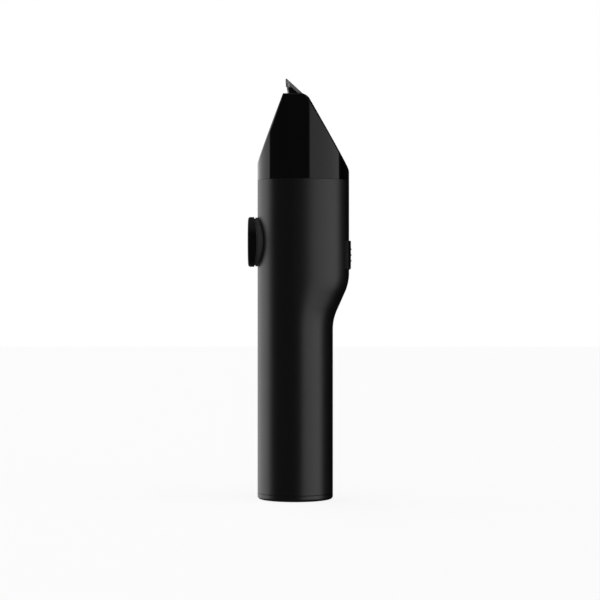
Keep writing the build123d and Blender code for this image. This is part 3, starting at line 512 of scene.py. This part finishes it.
mesh = edit(head_skin)
choose(mesh, mesh.edges, slope_rim)
bpy.ops.mesh.bevel(offset=slope_rounding, segments=6, affect="EDGES", clamp_overlap=False)
close_edit()
smooth(head_skin)
head_gloss = moulded("head_gloss", (0.004, 0.004, 0.0042), 0.06, 0.008, 1.5 * MM)
head_skin.data.materials.append(head_gloss)
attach(head_skin, "head")
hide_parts("head_shell")

# ----------------------------------------------------------------------------------------
# Power button: a round ABS cap with a rounded rim and a shallow dish. Its back follows
# the body's curve; behind the rim a skirt and a stem reach in to the switch.
# ----------------------------------------------------------------------------------------
button_face = button_low.y
button_rear = -16.9 * MM
saddle_radius = 46.7 * MM
saddle_middle = saddle_radius + button_rear
rim_width, rim_rounding = 1.6 * MM, 0.9 * MM
dish_width, dish_fall = 6 * MM, 0.12 * MM
skirt_outer, skirt_inner, skirt_front, skirt_end = 8.5 * MM, 7.5 * MM, -17.8 * MM, -12.6 * MM
stem_radius, stem_end = 2 * MM, -12.9 * MM
pocket_inner, pocket_outer, pocket_floor = 8.6 * MM, 9.8 * MM, -18.1 * MM


def saddle(name, radius):
    """A wide round column behind the button, which shapes its back to the body's curve."""
    bpy.ops.mesh.primitive_cylinder_add(
        vertices=1440, radius=radius, depth=60 * MM, location=(0, saddle_middle, button_z)
    )
    column = bpy.context.object
    column.name = name
    settle(column)
    return column


def round_rim(piece, place, radius, rounding, segments):
    """Rounds the circle of a given radius on the face at one distance from the axis."""
    mesh = edit(piece)
    choose(
        mesh,
        mesh.edges,
        lambda edge: all(
            abs(vert.co.y - place) < 1e-6
            and abs(math.hypot(vert.co.x, vert.co.z - button_z) - radius) < 1e-5
            for vert in edge.verts
        ),
    )
    bpy.ops.mesh.bevel(offset=rounding, segments=segments, affect="EDGES")
    close_edit()


def pipe(name, outer, inner, front, back):
    """A round pipe round the button's axis."""
    tube = disc(name, outer, front, back, button_z)
    cut(tube, disc(name + "_bore", inner, front - 1 * MM, back + 1 * MM, button_z))
    return tube


button_cap = disc("button_cap", button_radius, button_face, -12 * MM, button_z)
mesh = edit(button_cap, "FACE")
choose(mesh, mesh.faces, lambda face: face.normal.y < -0.9)
bpy.ops.mesh.inset(thickness=rim_width)
for share in (0.1, 0.2, 0.3, 0.3):
    bpy.ops.mesh.inset(thickness=share * dish_width)
    bpy.ops.transform.translate(value=(0, dish_fall * (1.2 - share), 0))
close_edit()
round_rim(button_cap, button_face, button_radius, rim_rounding, 8)
cut(button_cap, saddle("cap_saddle", saddle_radius))
cut(button_cap, pipe("pocket", pocket_outer, pocket_inner, pocket_floor, -10 * MM))
cut(button_cap, pipe("skirt", skirt_outer, skirt_inner, skirt_front, skirt_end), "UNION")
cut(button_cap, disc("stem", stem_radius, skirt_front, stem_end, button_z, 64), "UNION")
smooth(button_cap)
button_black = moulded("button_black", (0.002, 0.002, 0.0022), 0.28, 0.03, 0.2 * MM, 0.5)
button_cap.data.materials.append(button_black)
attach(button_cap, "power_button")
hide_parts("power_button_cap")

# ----------------------------------------------------------------------------------------
# Button collar: smoke-grey polycarbonate that spreads the ring lamps' light. It stands in
# the body's hole with a hair-line gap, and a thin sleeve of it runs up inside the cap's rim.
# ----------------------------------------------------------------------------------------
collar_radius, collar_bore = 10.1 * MM, 8.65 * MM
collar_front, collar_rear = -20 * MM, -10.4 * MM
collar_saddle_radius = 46.1 * MM
inner_radius, inner_front, inner_rear = 9.7 * MM, -17.5 * MM, -14 * MM
light_collar = pipe("light_collar", collar_radius, collar_bore, collar_front, collar_rear)
cut(light_collar, saddle("collar_saddle", collar_saddle_radius), "INTERSECT")
cut(light_collar, pipe("inner_sleeve", inner_radius, collar_bore, inner_front, inner_rear), "UNION")
smooth(light_collar)
collar_grey = bpy.data.materials.new("collar_grey")
collar_grey.use_nodes = True
tree = collar_grey.node_tree
shader = tree.nodes["Principled BSDF"]
place = tree.nodes.new("ShaderNodeTexCoord")
flow = tree.nodes.new("ShaderNodeTexNoise")
flow.inputs["Scale"].default_value = 700
flow.inputs["Detail"].default_value = 4
tree.links.new(place.outputs["Object"], flow.inputs["Vector"])
smoke = tree.nodes.new("ShaderNodeMix")
smoke.data_type = "RGBA"
smoke.inputs["A"].default_value = (0.22, 0.22, 0.225, 1)
smoke.inputs["B"].default_value = (0.28, 0.28, 0.286, 1)
tree.links.new(flow.outputs["Fac"], smoke.inputs["Factor"])
tree.links.new(smoke.outputs["Result"], shader.inputs["Base Color"])
polish = tree.nodes.new("ShaderNodeMapRange")
polish.inputs["To Min"].default_value = 0.3
polish.inputs["To Max"].default_value = 0.42
tree.links.new(flow.outputs["Fac"], polish.inputs["Value"])
tree.links.new(polish.outputs["Result"], shader.inputs["Roughness"])
shader.inputs["Specular IOR Level"].default_value = 0.6
light_collar.data.materials.append(collar_grey)
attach(light_collar, "housing")
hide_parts("button_collar")

# ----------------------------------------------------------------------------------------
# Lock slider: a ribbed ABS knob that lies on the body's back. Two side wings, a taller
# grip with three rounded ridges, and a stem through the wall to the plate inside. The
# knob's sides are painted a lighter grey than the grip's raised face: painted light on
# the sides and painted shade on the face, for how the light falls on them.
# ----------------------------------------------------------------------------------------
knob_low, knob_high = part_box("lock_slider")
wing_face, grip_face = 21.9 * MM, 23.0 * MM
grip_half = 7.9 * MM
plate_outer = 19.6 * MM
skin_gap = 0.15 * MM
ridge_radius, ridge_pitch, ridge_length = 0.55 * MM, 2.35 * MM, 14.4 * MM
ridge_middle, screw_height = 100.45 * MM, 100.6 * MM
slider_knob = brick(
    "slider_knob", (knob_low.x, plate_outer, knob_low.z), (knob_high.x, wing_face, knob_high.z)
)
mesh = edit(slider_knob)
choose(mesh, mesh.edges, lambda edge: all(vert.co.y > wing_face - 1e-6 for vert in edge.verts))
bpy.ops.mesh.bevel(offset=0.3 * MM, segments=4, affect="EDGES")
close_edit()
grip = brick("grip", (-grip_half, plate_outer, knob_low.z), (grip_half, grip_face, knob_high.z))
mesh = edit(grip)
choose(mesh, mesh.edges, lambda edge: all(vert.co.y > grip_face - 1e-6 for vert in edge.verts))
bpy.ops.mesh.bevel(offset=0.35 * MM, segments=5, affect="EDGES")
close_edit()
cut(slider_knob, grip, "UNION")
for step in (-1, 0, 1):
    bpy.ops.mesh.primitive_cylinder_add(
        vertices=64,
        radius=ridge_radius,
        depth=ridge_length,
        location=(0, knob_high.y - ridge_radius, ridge_middle + step * ridge_pitch),
        rotation=(0, math.radians(90), 0),
    )
    ridge = bpy.context.object
    settle(ridge)
    mesh = edit(ridge)
    choose(mesh, mesh.edges, lambda edge: abs(edge.verts[0].co.x - edge.verts[1].co.x) < 1e-6)
    bpy.ops.mesh.bevel(offset=0.25 * MM, segments=4, affect="EDGES")
    close_edit()
    cut(slider_knob, ridge, "UNION")
body_skin = oval_block(
    "body_skin",
    half_width + skin_gap,
    front_depth + skin_gap,
    upper_back + skin_gap,
    knob_low.z - 1 * MM,
    knob_high.z + 1 * MM,
)
cut(slider_knob, body_skin)
stem_low, stem_high = (-2.4 * MM, plate_outer, 99.1 * MM), (2.4 * MM, 22.7 * MM, 102.1 * MM)
cut(slider_knob, brick("stem", stem_low, stem_high), "UNION")
cut(slider_knob, disc("screw_bore", 0.82 * MM, 19 * MM, 21.6 * MM, screw_height, 48))
smooth(slider_knob)
slider_black = moulded("slider_black", (0.0012, 0.0012, 0.0013), 0.42, 0.12, 0.2 * MM, 0.3)
tree = slider_black.node_tree
shader = tree.nodes["Principled BSDF"]
grip_colour = shader.inputs["Base Color"].links[0].from_socket
place = tree.nodes.new("ShaderNodeTexCoord")
split = tree.nodes.new("ShaderNodeSeparateXYZ")
tree.links.new(place.outputs["Object"], split.inputs["Vector"])
# Painted light and shade: below the grip's face the knob is painted a lighter grey that stands for light on
# its flat sides, and the raised face keeps the deep black that stands for its shade.
raised = tree.nodes.new("ShaderNodeMapRange")
raised.inputs["From Min"].default_value = wing_face - 0.1 * MM
raised.inputs["From Max"].default_value = wing_face + 0.1 * MM
tree.links.new(split.outputs["Y"], raised.inputs["Value"])
lit_sides_paint = tree.nodes.new("ShaderNodeMix")
lit_sides_paint.data_type = "RGBA"
# The lighter grey of the sides is painted light, not a second moulding colour.
lit_sides_paint.inputs["A"].default_value = (0.07, 0.07, 0.072, 1)
tree.links.new(raised.outputs["Result"], lit_sides_paint.inputs["Factor"])
tree.links.new(grip_colour, lit_sides_paint.inputs["B"])
tree.links.new(lit_sides_paint.outputs["Result"], shader.inputs["Base Color"])
slider_knob.data.materials.append(slider_black)
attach(slider_knob, "slider")
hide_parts("lock_slider")

# ----------------------------------------------------------------------------------------
# Blades: hardened steel, stamped and then ground on the flat faces. The grinding leaves
# fine lines along the blade, and a satin face between bright and dull.
# ----------------------------------------------------------------------------------------
def paint(material, *names):
    """Gives machined parts a finish."""
    for name in names:
        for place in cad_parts[name].material_slots:
            place.material = material


def steel(name, colour, roughness, stretch, lines, depth):
    """Bare metal with fine lines that run along the least stretched direction."""
    material = bpy.data.materials.new(name)
    material.use_nodes = True
    tree = material.node_tree
    shader = tree.nodes["Principled BSDF"]
    place = tree.nodes.new("ShaderNodeTexCoord")
    along = tree.nodes.new("ShaderNodeMapping")
    along.inputs["Scale"].default_value = stretch
    tree.links.new(place.outputs["Object"], along.inputs["Vector"])
    grind = tree.nodes.new("ShaderNodeTexNoise")
    grind.inputs["Scale"].default_value = lines
    grind.inputs["Detail"].default_value = 5
    grind.inputs["Roughness"].default_value = 0.65
    tree.links.new(along.outputs["Vector"], grind.inputs["Vector"])
    bump = tree.nodes.new("ShaderNodeBump")
    bump.inputs["Strength"].default_value = depth
    bump.inputs["Distance"].default_value = 0.02 * MM
    tree.links.new(grind.outputs["Fac"], bump.inputs["Height"])
    tree.links.new(bump.outputs["Normal"], shader.inputs["Normal"])
    dull = tree.nodes.new("ShaderNodeMapRange")
    dull.inputs["To Min"].default_value = roughness * 0.75
    dull.inputs["To Max"].default_value = roughness * 1.25
    tree.links.new(grind.outputs["Fac"], dull.inputs["Value"])
    tree.links.new(dull.outputs["Result"], shader.inputs["Roughness"])
    tint = tree.nodes.new("ShaderNodeMix")
    tint.data_type = "RGBA"
    tint.inputs["A"].default_value = (*[part * 0.86 for part in colour], 1)
    tint.inputs["B"].default_value = (*colour, 1)
    tree.links.new(grind.outputs["Fac"], tint.inputs["Factor"])
    tree.links.new(tint.outputs["Result"], shader.inputs["Base Color"])
    shader.inputs["Metallic"].default_value = 1
    return material


paint(steel("blade_steel", (0.93, 0.92, 0.91), 0.62, (0.1, 1, 1), 9000, 0.3), "fixed_blade", "moving_blade")

# ----------------------------------------------------------------------------------------
# Cutter parts of black acetal: the base that holds the fixed blade and the carrier that
# slides behind it, with a white acetal cam below, all moulded with a smooth, waxy skin.
# ----------------------------------------------------------------------------------------
cutter_black = moulded("cutter_black", (0.008, 0.008, 0.0085), 0.4, 0.08, 0.3 * MM)
paint(cutter_black, "cutter_base", "blade_carrier")
cam_white = moulded("cam_white", (0.72, 0.71, 0.68), 0.38, 0.06, 0.4 * MM)
paint(cam_white, "eccentric_cam")

# ----------------------------------------------------------------------------------------
# Screws and the leaf spring: the screws are turned and zinc plated, with an even fine
# grain; the spring is a strip of tempered steel with its rolling lines along it.
# ----------------------------------------------------------------------------------------
screw_steel = steel("screw_steel", (0.52, 0.5, 0.47), 0.36, (1, 1, 1), 6000, 0.25)
paint(screw_steel, "blade_screws", "board_screws", "motor_screws", "slider_screw")
paint(steel("spring_steel", (0.42, 0.41, 0.4), 0.3, (1, 0.12, 0.12), 7000, 0.2), "blade_spring")

# ----------------------------------------------------------------------------------------
# Seal: a soft black silicone ring in the spigot's groove, dull, with a talc bloom.
# ----------------------------------------------------------------------------------------
paint(moulded("seal_rubber", (0.014, 0.014, 0.014), 0.72, 0.25, 0.35 * MM, 0.3), "head_seal")

# ----------------------------------------------------------------------------------------
# Chassis: mid-grey glass-filled nylon, moulded in one piece. The glass fibres show as a
# fine mottle in its skin. The black nylon parts beside it are of the same kind.
# ----------------------------------------------------------------------------------------
chassis_grey = moulded("chassis_grey", (0.11, 0.112, 0.115), 0.5, 0.2, 0.35 * MM)
paint(chassis_grey, "inner_chassis")
nylon_black = moulded("nylon_black", (0.011, 0.011, 0.012), 0.46, 0.15, 0.3 * MM)
paint(nylon_black, "slider_plate", "lock_lever", "motor_end_cap", "switch_plunger", "charge_tongue")

# ----------------------------------------------------------------------------------------
# Boards: green solder mask over a woven glass laminate, whose threads print through.
# The chips and switches are black moulding compound with a sandy skin.
# ----------------------------------------------------------------------------------------
board_green = bpy.data.materials.new("board_green")
board_green.use_nodes = True
tree = board_green.node_tree
shader = tree.nodes["Principled BSDF"]
place = tree.nodes.new("ShaderNodeTexCoord")
threads = []
for axis in ("X", "Z"):
    weave = tree.nodes.new("ShaderNodeTexWave")
    weave.bands_direction = axis
    weave.inputs["Scale"].default_value = 400
    weave.inputs["Distortion"].default_value = 0.6
    tree.links.new(place.outputs["Object"], weave.inputs["Vector"])
    threads.append(weave.outputs["Fac"])
cross = tree.nodes.new("ShaderNodeMath")
cross.operation = "MULTIPLY"
tree.links.new(threads[0], cross.inputs[0])
tree.links.new(threads[1], cross.inputs[1])
mask = tree.nodes.new("ShaderNodeMix")
mask.data_type = "RGBA"
mask.inputs["A"].default_value = (0.006, 0.07, 0.022, 1)
mask.inputs["B"].default_value = (0.012, 0.13, 0.042, 1)
tree.links.new(cross.outputs["Value"], mask.inputs["Factor"])
tree.links.new(mask.outputs["Result"], shader.inputs["Base Color"])
raised = tree.nodes.new("ShaderNodeBump")
raised.inputs["Strength"].default_value = 0.15
raised.inputs["Distance"].default_value = 0.02 * MM
tree.links.new(cross.outputs["Value"], raised.inputs["Height"])
tree.links.new(raised.outputs["Normal"], shader.inputs["Normal"])
shader.inputs["Roughness"].default_value = 0.28
paint(board_green, "main_board", "charge_board")
chip_black = moulded("chip_black", (0.016, 0.016, 0.017), 0.55, 0.3, 0.12 * MM)
paint(chip_black, "control_chips", "power_switch", "lock_switch")

# ----------------------------------------------------------------------------------------
# Ring lamps: four small white lamps under the collar, in milky epoxy over the die.
# ----------------------------------------------------------------------------------------
paint(moulded("lamp_lens", (0.74, 0.73, 0.62), 0.25, 0.03, 0.3 * MM), "ring_leds")

# ----------------------------------------------------------------------------------------
# Battery cell: a steel can in a shrunk blue film, with the film's slight ripples, and
# punched nickel tabs spot-welded to its ends. The port's shell is nickel plated too.
# ----------------------------------------------------------------------------------------
cell_wrap = moulded("cell_wrap", (0.012, 0.05, 0.24), 0.24, 0.25, 2.5 * MM)
paint(cell_wrap, "battery_cell")
paint(steel("nickel", (0.66, 0.61, 0.52), 0.3, (1, 1, 0.3), 5000, 0.2), "battery_tabs", "charge_socket")

# ----------------------------------------------------------------------------------------
# Motor: a deep-drawn, zinc-plated can, with drawing lines up its side, and a ground and
# hardened shaft that turns in it.
# ----------------------------------------------------------------------------------------
paint(steel("motor_steel", (0.5, 0.5, 0.49), 0.34, (1, 1, 0.06), 4000, 0.25), "motor_can")
paint(steel("shaft_steel", (0.7, 0.69, 0.68), 0.18, (0.6, 0.6, 1), 9000, 0.12), "motor_shaft")
